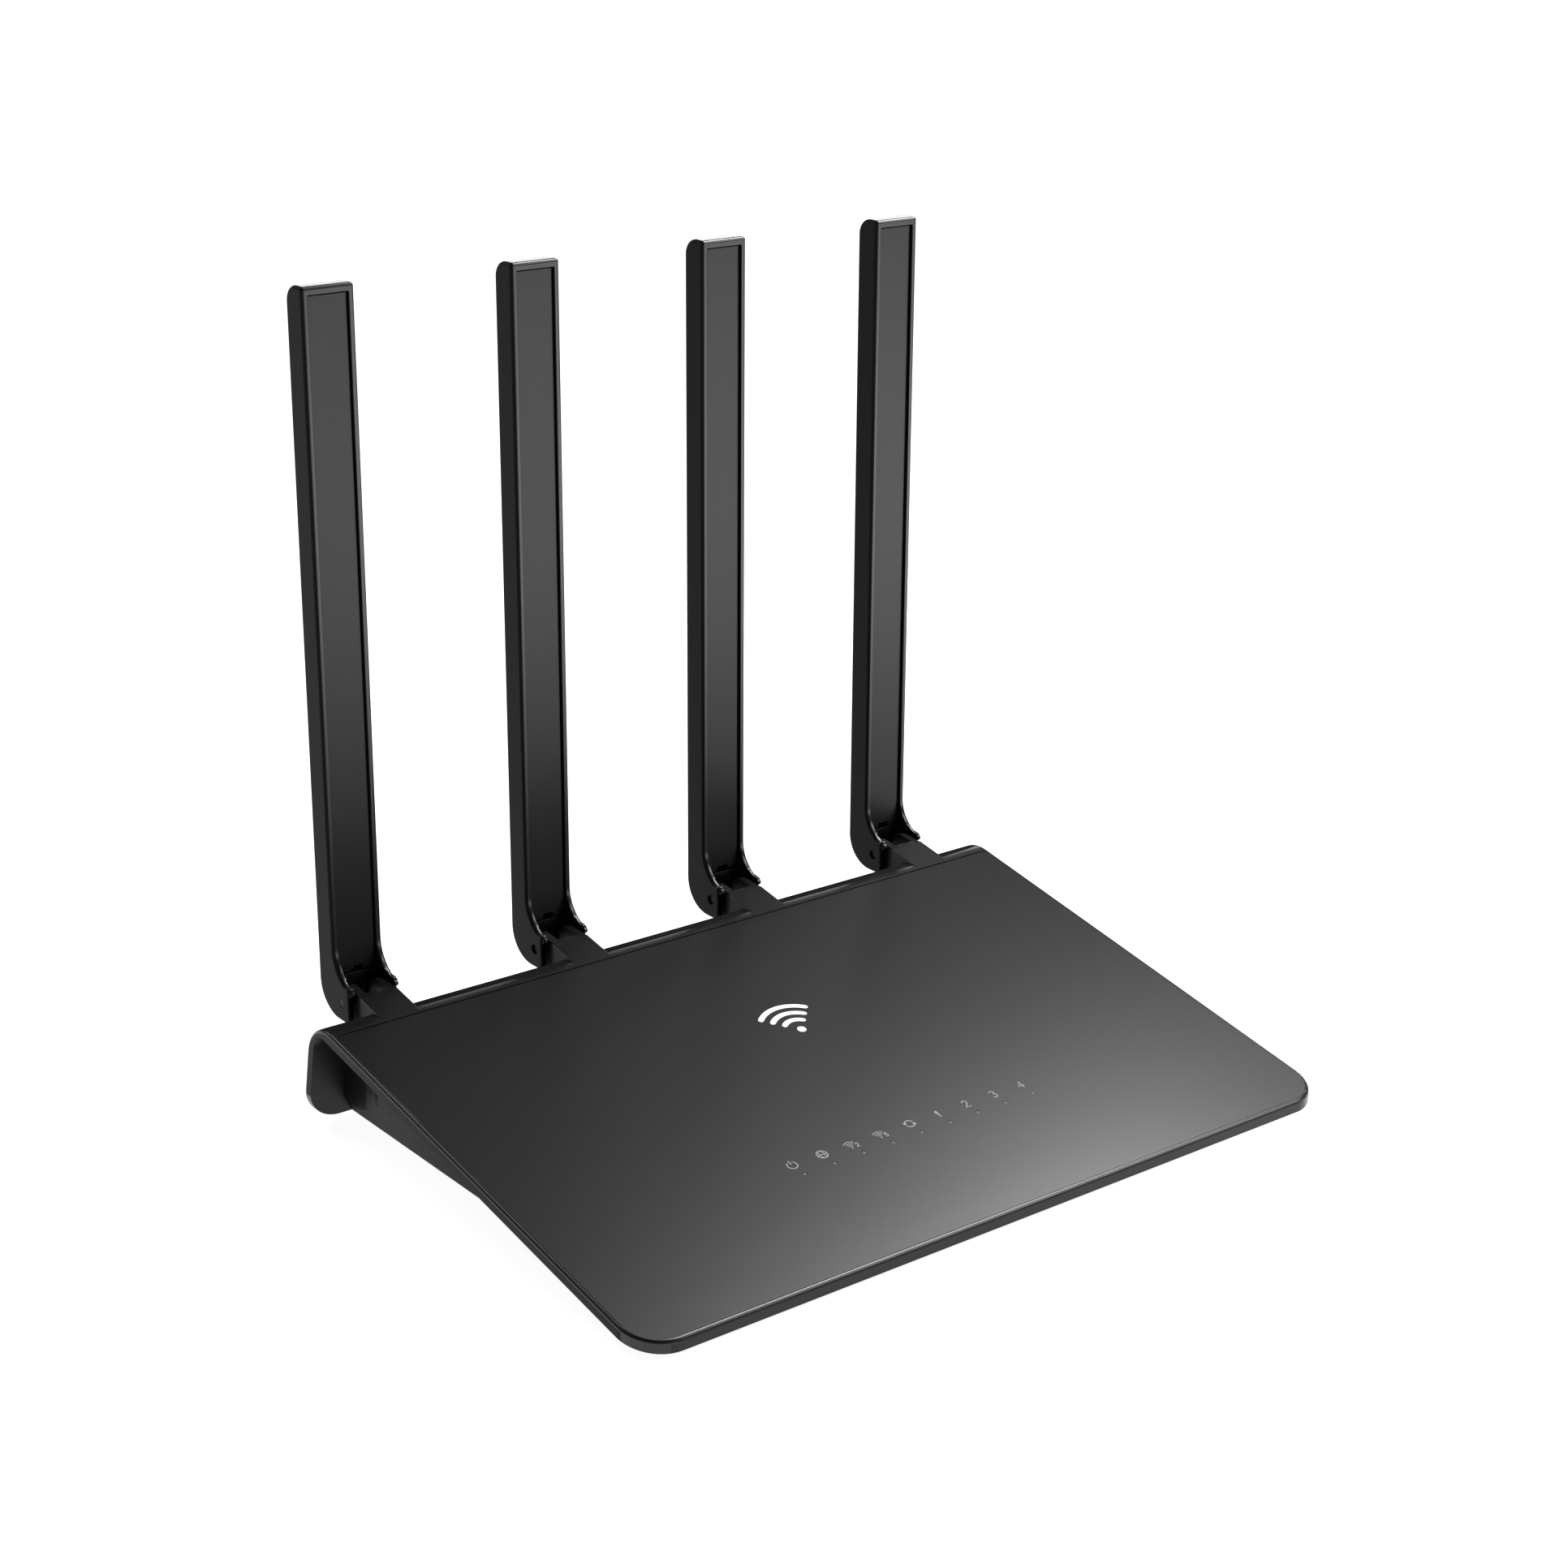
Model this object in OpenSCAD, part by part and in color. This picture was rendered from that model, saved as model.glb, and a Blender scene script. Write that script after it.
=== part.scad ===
// Desktop Wi-Fi range extender and router: a thin sloping plate bent down into a
// rear wall, a tray underneath, and four hinged antenna blades along the spine.
// Units are millimetres, +Z is up, -Y is the thin front edge, +Y is the port side.

/* [Case] */
// Width of the case, side to side
case_w = 205; // [200:1:210]
// Height of the front edge above the table
front_h = 4.0; // [3.8:0.1:4.2]
// Slope of the top plate, in degrees
slope = 11.1; // [11:0.1:11.2]
// Thickness of the plate's edge and of the rear wall
rim_t = 2.9; // [2.8:0.1:3.0]
// Radius of the front corners, seen from above
front_r = 10; // [8:0.5:12]
// Outside radius of the bend from the plate to the rear wall
bend_r = 10; // [9.5:0.1:10]
// Gap of the seam along the cover's rear edge
seam = 0.45; // [0.2:0.05:0.5]
// Width of the rim that shows around the inlaid cover
border = 1.0; // [0.9:0.05:1.3]
// Thickness of the inlaid cover
cover_t = 0.9; // [0.8:0.05:1]
// Thickness of the tray's floor and sides
wall = 2.0; // [1.8:0.1:2.2]
// Half width of the tray's floor
tray_hw = 90; // [88:1:91]

/* [Antennas] */
// Distance between neighbouring antennas
ant_pitch = 55.28; // [54.5:0.02:56]
// Width of an antenna blade
blade_w = 13.6; // [13.4:0.1:14]
// Height of the antenna tips above the table
tip_h = 199.8; // [160:0.2:220]
// Depth of the recessed front of a blade
recess = 0.75; // [0.7:0.05:0.9]
// Width of a hinge block
block_w = 10.4; // [10.2:0.05:10.4]
// Radius of a hinge pin
pin_r = 1.25; // [1.1:0.05:1.3]

/* [Lights and ports] */
// Distance between neighbouring indicator lights
led_pitch = 8.7; // [8.4:0.1:9]
// Distance between neighbouring network sockets
jack_pitch = 14.1; // [14:0.1:14.2]
// Distance between the two wall-mounting holes
key_span = 160; // [159:0.5:161]
// Radius of the entry of a wall-mounting hole
key_r = 3.6; // [3.4:0.1:3.8]

/* [Hidden] */

hw = case_w / 2;
yf = -77;                       // front edge
yr = 77;                        // back of the antenna blades
floor_z = 1.5;                  // underside of the tray
cy = 59.25;                     // where plate and rear wall would meet if sharp
function zt(y) = front_h + (y - yf) * tan(slope);
cz = zt(cy);
pvy = 66.3;                     // hinge axis of the antennas
pvz = 27.8;
blade_y = 69.6;                 // front of the blade's rims
pcb_top = 6.2;
led_y = -44.3;
jack_y = 61.2;                  // face of the sockets
lan_x = 12.2;                   // middle of the four LAN sockets
wan_x = -29.5;
dc_x = -49;
wps_x = -63;
wps_z = 12.8;
function ant_x(i) = (i - 2.5) * ant_pitch;
$fn = 48;

// ---------- helpers ----------
// A drawing in the Y-Z plane, extruded along X.
module yz(x0, w) { translate([x0, 0, 0]) rotate([90, 0, 90]) linear_extrude(w) children(); }
// A drawing in the X-Z plane, extruded along Y from y0 to y1.
module xz(y0, y1) { translate([0, y1, 0]) rotate([90, 0, 0]) linear_extrude(y1 - y0) children(); }
// A box given by its corners.
module box(a, b) { translate(a) cube(b - a); }
// A cylinder along Y.
module ycyl(x, y0, y1, z, r) { translate([x, y1, z]) rotate([90, 0, 0]) cylinder(h = y1 - y0, r = r); }
// A cylinder along X.
module xcyl(x0, x1, y, z, r) { translate([x0, y, z]) rotate([0, 90, 0]) cylinder(h = x1 - x0, r = r); }
// A box in the plate's own frame: x across, u back along the plate, v out of it.
module pbox(a, b) { translate([0, cy, cz]) rotate([slope, 0, 0]) box(a, b); }
// Side outline of the case, moved in by o, with bend radius r.
module prof(o, r) {
  translate([cy, cz]) rotate(slope) translate([-o, -o]) {
    translate([-160, -80]) square([160 - r, 80]);
    translate([-160, -80]) square([160, 80 - r]);
    translate([-r, -r]) circle(r, $fn = 96);
  }
}
// A round-sided tube along points, each ring square to the path.
function unit(v) = v / norm(v);
function tang(p, i) = unit(p[min(i + 1, len(p) - 1)] - p[max(i - 1, 0)]);
function ring(c, t, r, n) = let (s = unit(cross(t, abs(t[0]) > 0.9 ? [0, 1, 0] : [1, 0, 0])), q = cross(t, s))
  [for (k = [0:n - 1]) c + r * (s * cos(360 * k / n) + q * sin(360 * k / n))];
module tube(p, r, n = 8) {
  m = len(p);
  pts = [for (i = [0:m - 1]) each ring(p[i], tang(p, i), r, n)];
  faces = concat([[for (k = [0:n - 1]) k]],
    [for (i = [0:m - 2]) for (k = [0:n - 1]) each
      [[i * n + k, (i + 1) * n + k, i * n + (k + 1) % n],
       [i * n + (k + 1) % n, (i + 1) * n + k, (i + 1) * n + (k + 1) % n]]],
    [[for (k = [n - 1:-1:0]) (m - 1) * n + k]]);
  polyhedron(points = pts, faces = faces);
}
// Points of a smooth curve through p, s steps to each span.
function crv(p, s) = [for (i = [0:len(p) - 2]) for (j = [0:s - 1])
    let (a = p[max(i - 1, 0)], b = p[i], c = p[i + 1], d = p[min(i + 2, len(p) - 1)], t = j / s)
    0.5 * (2 * b + (c - a) * t + (2 * a - 5 * b + 4 * c - d) * t * t + (3 * b - a - 3 * c + d) * t * t * t)];
function route(p, s) = concat(crv(p, s), [p[len(p) - 1]]);

// ---------- case ----------
screw_front = [80, -30];
screw_rear = [76, 53.5];
// Seen from above: the case's outline moved in by o, back to y1, with rear corners of radius rr.
module plan(o, y1, rr) {
  r = front_r - o;
  for (s = [-1, 1]) {
    translate([s * (hw - front_r), yf + front_r]) circle(r, $fn = 96);
    if (rr > 0) translate([s * (hw - o - rr), y1 - rr]) circle(rr, $fn = 48);
  }
  translate([-hw + o, yf + front_r]) square([case_w - 2 * o, y1 - rr - yf - front_r]);
  translate([-hw + front_r, yf + o]) square([case_w - 2 * front_r, 20]);
  if (rr > 0) translate([-hw + o + rr, y1 - rr - 10]) square([case_w - 2 * o - 2 * rr, rr + 10]);
}
cover_y = 48.9;                 // rear edge of the cover
module top_cover() {
  color([0.13, 0.13, 0.135]) difference() {
    intersection() {
      pbox([-hw, -150, -cover_t], [hw, 0, 0]);
      linear_extrude(60) plan(border + 0.05, cover_y - seam, 2.0);
    }
    for (i = [0:8]) translate([(i - 4) * led_pitch, led_y, 5]) cylinder(h = 10, r = 0.65);
  }
}

module block2d() {
  polygon([[49.5, zt(49.5) - 0.01], [60.2, zt(60.2)], [60.2, 23.5], [57.6, 24.0], [52, 26.6]]);
}
module knuckle2d() {
  polygon([[59.4, zt(59.4)], [60.3, zt(60.3)], [66.1, pvz + 3.74], [pvy, pvz],
    [64.8, 24.25], [64.3, 22.8], [61.6, 21.2], [58.8, 21.0], [57.6, 24.0]]);
  translate([pvy, pvz]) circle(3.75, $fn = 64);
}
module hinge_block(x) {
  difference() {
    union() {
      yz(x - block_w / 2, block_w) block2d();
      yz(x - 4.8, 9.6) knuckle2d();
    }
    yz(x - 2.75, 5.5) polygon([[61.6, 40], [80, 40], [80, 15], [61.6, 15]]);
    xcyl(x - 9, x + 9, pvy, pvz, pin_r + 0.05);
  }
}
module block_channel(x) {
  yz(x - 2.4, 4.8) polygon([[44, 21.5], [54, 23.2], [58, 25.9], [61.7, 25.9], [61.7, 29.5], [58, 28.6], [52, 26.7], [44, 25]]);
}
module upper_housing() {
  color([0.10, 0.10, 0.105]) difference() {
    union() {
      intersection() {
        yz(-hw, case_w) intersection() {
          difference() { prof(0, bend_r); prof(rim_t, 4.5); }
          translate([-90, 0.4]) square([180, 60]);
        }
        union() {
          linear_extrude(60) plan(0, 45, 0);
          xz(44, 80) union() {
            translate([-hw, 1.4 + 8.5]) square([case_w, 40]);
            translate([-hw + 8.5, 1.4]) square([case_w - 17, 40]);
            for (s = [-1, 1]) translate([s * (hw - 8.5), 1.4 + 8.5]) circle(8.5, $fn = 64);
          }
        }
      }
      for (i = [1:4]) hinge_block(ant_x(i));
      for (s = [-1, 1]) {
        translate([s * screw_rear[0], screw_rear[1], 6.6]) cylinder(h = 20.1, r = 3.0);
        translate([s * screw_front[0], screw_front[1], 6.6]) cylinder(h = 5.4, r = 3.2);
      }
    }
    // seat of the inlaid cover
    intersection() {
      pbox([-hw, -150, -cover_t], [hw, 0, 5]);
      linear_extrude(60) plan(border, cover_y, 2.1);
    }
    // hollow under the plate, with the front screw bosses left standing
    difference() {
      pbox([-86, -118, -rim_t - 1], [86, -15.5, -2.1]);
      for (s = [-1, 1]) translate([s * screw_front[0], screw_front[1], 0]) cylinder(h = 30, r = 3.2);
    }
    for (s = [-1, 1]) translate([s * screw_front[0], screw_front[1], 6]) cylinder(h = 4.9, r = 1.25);
    for (i = [0:8]) translate([(i - 4) * led_pitch, led_y, 5]) cylinder(h = 10, r = 0.65);
    for (i = [1:4]) block_channel(ant_x(i));
    for (s = [-1, 1]) translate([s * screw_rear[0], screw_rear[1], 6]) cylinder(h = 8, r = 1.25);
    // windows for the sockets and the button
    box([lan_x - 2 * jack_pitch - 0.25, 50, 6.0], [lan_x + 2 * jack_pitch + 0.25, 70, 19.6]);
    box([wan_x - 8.25, 50, 6.0], [wan_x + 8.25, 70, 19.6]);
    box([dc_x - 4.85, 50, 6.0], [dc_x + 4.85, 70, 17.2]);
    ycyl(wps_x, 50, 70, wps_z, 2.65);
  }
}

feet = [[80, 38], [-80, 38], [72, -50], [-72, -50]];
standoffs = [[64, -42], [-64, -42], [64, 28], [-64, 28]];
module scoop(r) { for (s = [-1, 1]) translate([s * 143, 58, -5]) cylinder(h = 60, r = r, $fn = 180); }
module tray_section(o) {
  polygon([[-tray_hw + o, 0], [tray_hw - o, 0], [tray_hw - o + 14.0, floor_z + 24.9], [-tray_hw + o - 14.0, floor_z + 24.9]]);
}
module bottom_case() {
  color([0.09, 0.09, 0.095]) difference() {
    union() {
      difference() {
        intersection() {
          yz(-hw, case_w) intersection() {
            prof(rim_t + 0.12, 4.4);
            translate([-73, floor_z]) square([150, 60]);
          }
          xz(-80, 80) tray_section(0);
          box([-hw + 1, -80, 0], [hw - 1, 80, 60]);
        }
        scoop(50);
        difference() {
          intersection() {
            box([-hw, -66, floor_z + wall], [hw, 80, 60]);
            xz(-80, 80) tray_section(wall * 1.15);
          }
          scoop(52);
        }
      }
      for (s = [-1, 1]) for (p = [screw_front, screw_rear])
        translate([s * p[0], p[1], floor_z]) cylinder(h = 5.0, r = 4.2);
      for (p = standoffs) translate([p[0], p[1], floor_z]) cylinder(h = 3.1, r = 3.0);
    }
    for (s = [-1, 1]) for (p = [screw_front, screw_rear]) {
      translate([s * p[0], p[1], 0]) cylinder(h = 4.5, r = 3.0);
      translate([s * p[0], p[1], 0]) cylinder(h = 10, r = 1.5);
    }
    for (p = standoffs) translate([p[0], p[1], 2.4]) cylinder(h = 4, r = 1.25);
    for (p = feet) translate([p[0], p[1], 0]) cylinder(h = floor_z + 0.5, r = 5.6);
    // wall-mounting keyholes
    for (s = [-1, 1]) {
      translate([s * key_span / 2, 6, 0]) cylinder(h = 6, r = key_r);
      translate([s * key_span / 2, 15, 0]) cylinder(h = 6, r = 1.9);
      box([s * key_span / 2 - 1.9, 6, 0], [s * key_span / 2 + 1.9, 15, 6]);
    }
    // air vents
    for (s = [-1, 1]) for (k = [0:7]) for (r = [0, 1])
      box([s * 43 - 17 + k * 4.5, -30 + r * 32, 0], [s * 43 - 15 + k * 4.5, -6 + r * 32, 6]);
    // shallow seat for the label
    box([-23, -22, 0], [23, 16, floor_z + 0.2]);
  }
}

// ---------- lights ----------
module light_guide() {
  color([0.85, 0.88, 0.9]) intersection() {
    union() {
      box([-4.4 * led_pitch, led_y - 1.0, 7.0], [4.4 * led_pitch, led_y + 1.1, 7.9]);
      for (i = [0:8]) translate([(i - 4) * led_pitch, led_y, 7.5]) cylinder(h = 6, r = 0.55);
    }
    pbox([-60, -150, -20], [60, 0, -0.02]);
  }
}
module indicator_leds() {
  color([0.9, 0.9, 0.75]) for (i = [0:8])
    box([(i - 4) * led_pitch - 0.8, led_y - 0.4, pcb_top], [(i - 4) * led_pitch + 0.8, led_y + 0.4, 6.9]);
}

// ---------- electronics ----------
module main_board() {
  color([0.05, 0.22, 0.12]) difference() {
    box([-70, -50, pcb_top - 1.6], [70, 58, pcb_top]);
    for (p = standoffs) translate([p[0], p[1], 0]) cylinder(h = 20, r = 1.6);
  }
}
module processor() { color([0.06, 0.06, 0.07]) box([-8, -8, pcb_top], [8, 8, pcb_top + 1.3]); }
module memory_chip() { color([0.06, 0.06, 0.07]) box([-6, -28, pcb_top], [6, -20, pcb_top + 1.1]); }
module thermal_pad() { color([0.55, 0.6, 0.65]) box([-7.5, -7.5, pcb_top + 1.3], [7.5, 7.5, pcb_top + 1.8]); }
module heatsink() {
  color([0.7, 0.71, 0.73]) union() {
    box([-11, -11, pcb_top + 1.8], [11, 11, pcb_top + 3.4]);
    for (k = [0:6]) box([-11 + k * 3.5, -11, pcb_top + 1.8], [-10 + k * 3.5, 11, pcb_top + 8]);
  }
}
module shield_can(x, y) {
  difference() {
    box([x - 17, y - 14, pcb_top], [x + 17, y + 14, pcb_top + 2.8]);
    box([x - 16.7, y - 13.7, pcb_top - 1], [x + 16.7, y + 13.7, pcb_top + 2.5]);
  }
}
module shield_can_2g() { color([0.75, 0.76, 0.78]) shield_can(-38, -6); }
module shield_can_5g() { color([0.75, 0.76, 0.78]) shield_can(38, -6); }
module lan_transformers() {
  color([0.08, 0.08, 0.09]) for (p = [[2, 31], [22, 31], [-28, 31]])
    box([p[0] - 8, p[1] - 5, pcb_top], [p[0] + 8, p[1] + 5, pcb_top + 4]);
}
module power_inductor() { color([0.2, 0.2, 0.22]) box([-50, 18, pcb_top], [-42, 26, pcb_top + 4.2]); }
module capacitors() {
  color([0.16, 0.2, 0.3]) for (p = [[-44.5, 36], [-54, 36]]) translate([p[0], p[1], pcb_top]) cylinder(h = 9, r = 4);
}

// ---------- sockets ----------
// One network socket's hollow, with its latch notch below.
module socket_hole(x) {
  box([x - 5.95, 47, 10.6], [x + 5.95, 70, 17.5]);
  box([x - 3.2, 49, 9.0], [x + 3.2, 70, 10.7]);
  box([x - 2.0, 52, 7.8], [x + 2.0, 70, 9.1]);
}
module contacts(x) {
  for (k = [0:7]) yz(x + (k - 3.5) * 1.02 - 0.22, 0.44)
    polygon([[59.6, 17.45], [59.6, 17.15], [50, 15.9], [47.05, 15.9], [47.05, 16.2], [49.9, 16.2], [57, 17.45]]);
}
module lan_port_block() {
  color([0.85, 0.62, 0.12]) difference() {
    box([lan_x - 2 * jack_pitch, 44.6, pcb_top], [lan_x + 2 * jack_pitch, jack_y, 19.4]);
    for (k = [0:3]) socket_hole(lan_x + (k - 1.5) * jack_pitch);
  }
}
module lan_port_contacts() { color([0.85, 0.7, 0.35]) for (k = [0:3]) contacts(lan_x + (k - 1.5) * jack_pitch); }
module wan_port() {
  color([0.1, 0.3, 0.65]) difference() {
    box([wan_x - 8, 44.6, pcb_top], [wan_x + 8, jack_y, 19.4]);
    socket_hole(wan_x);
  }
}
module wan_port_contacts() { color([0.85, 0.7, 0.35]) contacts(wan_x); }
module dc_jack() {
  color([0.06, 0.06, 0.06]) difference() {
    box([dc_x - 4.6, 47, pcb_top], [dc_x + 4.6, jack_y, 17.0]);
    ycyl(dc_x, 51, 70, 11.8, 3.15);
    ycyl(dc_x, 49.5, 52, 11.8, 1.6);
  }
}
module dc_jack_pin() {
  color([0.8, 0.8, 0.8]) union() {
    ycyl(dc_x, 49.5, 51, 11.8, 1.58);
    ycyl(dc_x, 50, 60, 11.8, 1.0);
  }
}
module wps_switch() {
  color([0.1, 0.1, 0.1]) difference() {
    box([wps_x - 3.25, 51.5, pcb_top], [wps_x + 3.25, 56.2, 16.4]);
    ycyl(wps_x, 53.2, 60, wps_z, 1.2);
  }
}
module wps_button() {
  color([0.12, 0.12, 0.12]) union() {
    ycyl(wps_x, 58, 64, wps_z, 2.5);
    ycyl(wps_x, 57.6, 58.7, wps_z, 3.3);
    ycyl(wps_x, 54.5, 58, wps_z, 1.1);
  }
}

// ---------- antenna leads ----------
coax_r = 0.65;
plug_xy = [[-62, 38], [-24, 40], [24, 39], [62, 38]];
module coax_connectors() {
  color([0.85, 0.7, 0.35]) for (p = plug_xy) translate([p[0], p[1], pcb_top]) cylinder(h = 1.2, r = 1.4);
}
function lower_route(i) = let (p = plug_xy[i - 1], x = ant_x(i))
  abs(x) > 50
  ? [[p[0], p[1], 7.65], [p[0], p[1], 8.8], [p[0] + sign(x) * 1.6, p[1] + 1, 12], [sign(x) * 68, 41, 15.7], [sign(x) * 77, 43, 19.3],
     [x, 47, 22.2], [x, 53, 24.6], [x, 59, 27.3], [x, 64.4, pvz]]
  : [[p[0], p[1], 7.65], [p[0], p[1], 8.8], [p[0], p[1] + 0.3, 12], [p[0] + (x - p[0]) * 0.4, 42, 18], [x, 45.5, 22],
     [x, 50, 23.5], [x, 54.5, 25.2], [x, 59, 27.3], [x, 64.4, pvz]];
module lower_coax(i) { color([0.08, 0.08, 0.08]) tube(route(lower_route(i), 3), coax_r); }
function upper_route(i) = let (x = ant_x(i))
  [[x, pvy + 0.5, pvz], [x, 69.4, pvz + 0.1], [x, 71.6, 28.9], [x, 73.0, 32.2], [x, 73.4, 37], [x, 73.4, 50], [x, 73.4, 68]];
module upper_coax(i) {
  color([0.08, 0.08, 0.08]) tube(route(upper_route(i), 3), coax_r);
}

// ---------- antennas ----------
module blade2d() {
  translate([blade_y, 31.3]) square([yr - blade_y - 4, tip_h - 31.3]);
  translate([blade_y, 31.3]) square([yr - blade_y, tip_h - 31.3 - 4]);
  intersection() {
    translate([yr - 4, tip_h - 4]) circle(4, $fn = 64);
    translate([yr - 4.5, tip_h - 4.5]) square([4.5, 4.5]);
  }
  intersection() {
    translate([yr - 8.6, 31.3]) circle(8.6, $fn = 96);
    translate([yr - 8.6, 22]) square([8.6, 9.4]);
  }
  difference() {
    union() {
      translate([64.5, 22.7]) square([yr - 8.6 - 64.5 + 0.01, 17.8]);
      translate([63, 24.2]) square([blade_y - 63, 16.3]);
      translate([64.5, 24.2]) circle(1.5);
      translate([68, 31.2]) square([2, 9.3]);
    }
    translate([60.8, 40.5]) circle(8.8, $fn = 96);
  }
}
module fork2d() {
  translate([55, 15]) square([69.4 - 55, 18.1]);
  translate([55, 15]) square([30, 11.5]);
  translate([55, pvz]) square([blade_y + recess - 55, 5.3]);
  translate([pvy, pvz]) circle(4.15, $fn = 64);
}
module antenna_shell(i) {
  x = ant_x(i);
  color([0.11, 0.11, 0.115]) difference() {
    union() {
      yz(x - blade_w / 2, blade_w) blade2d();
      // small beads at the tips of the fork's cheeks
      for (s = [-1, 1]) {
        xcyl(x + s * 5.95 - 0.65, x + s * 5.95 + 0.65, 62.65, 31.1, 0.8);
        xcyl(x + s * 5.95 - 0.6, x + s * 5.95 + 0.6, 63.0, 32.05, 0.45);
      }
    }
    // fork that straddles the hinge block
    yz(x - 5.5, 11) fork2d();
    // seat of the front panel, and the hollow behind it
    box([x - 5.25, 55, 33.0], [x + 5.25, blade_y + recess + 1.5, tip_h - 2]);
    box([x - 4.6, 71.5, 37], [x + 4.6, 75.7, tip_h - 4.6]);
    // passage for the coax
    yz(x - 1.6, 3.2) polygon([[68.6, 26.4], [71.8, 26.4], [73.8, 28.2], [74.9, 32.5], [75.2, 38], [71.9, 38], [71.9, 34.2], [70.8, 30.6], [69.4, 29.4], [68.6, 29.4]]);
    xcyl(x - 9, x + 9, pvy, pvz, pin_r + 0.01);
  }
}
module antenna_panel(i) {
  x = ant_x(i);
  color([0.15, 0.15, 0.155]) difference() {
    xz(blade_y + recess, blade_y + recess + 1.45) union() {
      translate([x - 5.05, 33.4 + 2.6]) square([10.1, tip_h - 2.2 - 33.4 - 2.6]);
      translate([x - 5.05 + 2.6, 33.4]) square([10.1 - 5.2, 10]);
      for (s = [-1, 1]) translate([x + s * (5.05 - 2.6), 33.4 + 2.6]) circle(2.6);
    }
    box([x - 1.6, 60, 33], [x + 1.6, 80, 34.6]);
  }
}
module antenna_radiator(i) { x = ant_x(i); color([0.6, 0.45, 0.2]) box([x - 4.2, 74.7, 60], [x + 4.2, 75.5, 176]); }
module antenna_pins(i) {
  x = ant_x(i);
  color([0.35, 0.35, 0.36]) for (s = [-1, 1]) xcyl(x + (s > 0 ? 2.95 : (i == 1 ? -6.77 : -6.2)), x + (s > 0 ? 6.2 : -2.95), pvy, pvz, pin_r);
}

// ---------- fixings ----------
module rubber_feet() { color([0.05, 0.05, 0.05]) for (p = feet) translate([p[0], p[1], 0]) cylinder(h = floor_z + 0.45, r = 5.5); }
module case_screws() {
  color([0.5, 0.5, 0.52]) for (s = [-1, 1]) for (p = [screw_front, screw_rear]) translate([s * p[0], p[1], 0])
    difference() {
      union() {
        translate([0, 0, 2.7]) cylinder(h = 1.75, r = 2.6);
        translate([0, 0, 4]) cylinder(h = 6.5, r = 1.2);
      }
      translate([-1.6, -0.3, 0]) cube([3.2, 0.6, 3.6]);
      translate([-0.3, -1.6, 0]) cube([0.6, 3.2, 3.6]);
    }
}
module board_screws() {
  color([0.6, 0.6, 0.62]) for (p = standoffs) translate([p[0], p[1], 0])
    difference() {
      union() {
        translate([0, 0, pcb_top + 0.02]) cylinder(h = 1.5, r = 2.4);
        translate([0, 0, 2.6]) cylinder(h = 4, r = 1.2);
      }
      translate([-1.4, -0.3, pcb_top + 0.8]) cube([2.8, 0.6, 2]);
      translate([-0.3, -1.4, pcb_top + 0.8]) cube([0.6, 2.8, 2]);
    }
}
module rating_label() { color([0.8, 0.8, 0.8]) box([-22.5, -21.5, floor_z + 0.02], [22.5, 15.5, floor_z + 0.18]); }

top_cover();
upper_housing();
bottom_case();
light_guide();
indicator_leds();
main_board();
processor();
memory_chip();
thermal_pad();
heatsink();
shield_can_2g();
shield_can_5g();
lan_transformers();
power_inductor();
capacitors();
lan_port_block();
lan_port_contacts();
wan_port();
wan_port_contacts();
dc_jack();
dc_jack_pin();
wps_switch();
wps_button();
coax_connectors();
lower_coax(1);  // antenna_1_lower_coax
lower_coax(2);  // antenna_2_lower_coax
lower_coax(3);  // antenna_3_lower_coax
lower_coax(4);  // antenna_4_lower_coax
antenna_shell(1);  // antenna_1_shell
antenna_shell(2);  // antenna_2_shell
antenna_shell(3);  // antenna_3_shell
antenna_shell(4);  // antenna_4_shell
antenna_panel(1);  // antenna_1_panel
antenna_panel(2);  // antenna_2_panel
antenna_panel(3);  // antenna_3_panel
antenna_panel(4);  // antenna_4_panel
antenna_radiator(1);  // antenna_1_radiator
antenna_radiator(2);  // antenna_2_radiator
antenna_radiator(3);  // antenna_3_radiator
antenna_radiator(4);  // antenna_4_radiator
upper_coax(1);  // antenna_1_upper_coax
upper_coax(2);  // antenna_2_upper_coax
upper_coax(3);  // antenna_3_upper_coax
upper_coax(4);  // antenna_4_upper_coax
antenna_pins(1);  // antenna_1_hinge_pins
antenna_pins(2);  // antenna_2_hinge_pins
antenna_pins(3);  // antenna_3_hinge_pins
antenna_pins(4);  // antenna_4_hinge_pins
rubber_feet();
case_screws();
board_screws();
rating_label();
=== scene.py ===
import bpy, bmesh, math
from mathutils import Matrix, Vector


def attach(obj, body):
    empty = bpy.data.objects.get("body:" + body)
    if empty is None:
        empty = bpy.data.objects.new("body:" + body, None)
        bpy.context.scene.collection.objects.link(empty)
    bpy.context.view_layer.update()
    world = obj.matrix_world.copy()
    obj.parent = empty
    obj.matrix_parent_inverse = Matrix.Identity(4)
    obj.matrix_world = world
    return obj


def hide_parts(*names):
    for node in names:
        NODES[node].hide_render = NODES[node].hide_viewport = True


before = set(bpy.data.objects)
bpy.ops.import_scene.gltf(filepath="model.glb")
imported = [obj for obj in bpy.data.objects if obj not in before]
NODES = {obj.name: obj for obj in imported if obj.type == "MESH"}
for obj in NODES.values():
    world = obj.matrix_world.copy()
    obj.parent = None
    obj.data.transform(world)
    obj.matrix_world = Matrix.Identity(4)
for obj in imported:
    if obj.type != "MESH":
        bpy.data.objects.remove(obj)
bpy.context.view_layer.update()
D = bpy.data
COL = bpy.context.scene.collection
mm = 0.001

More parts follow.
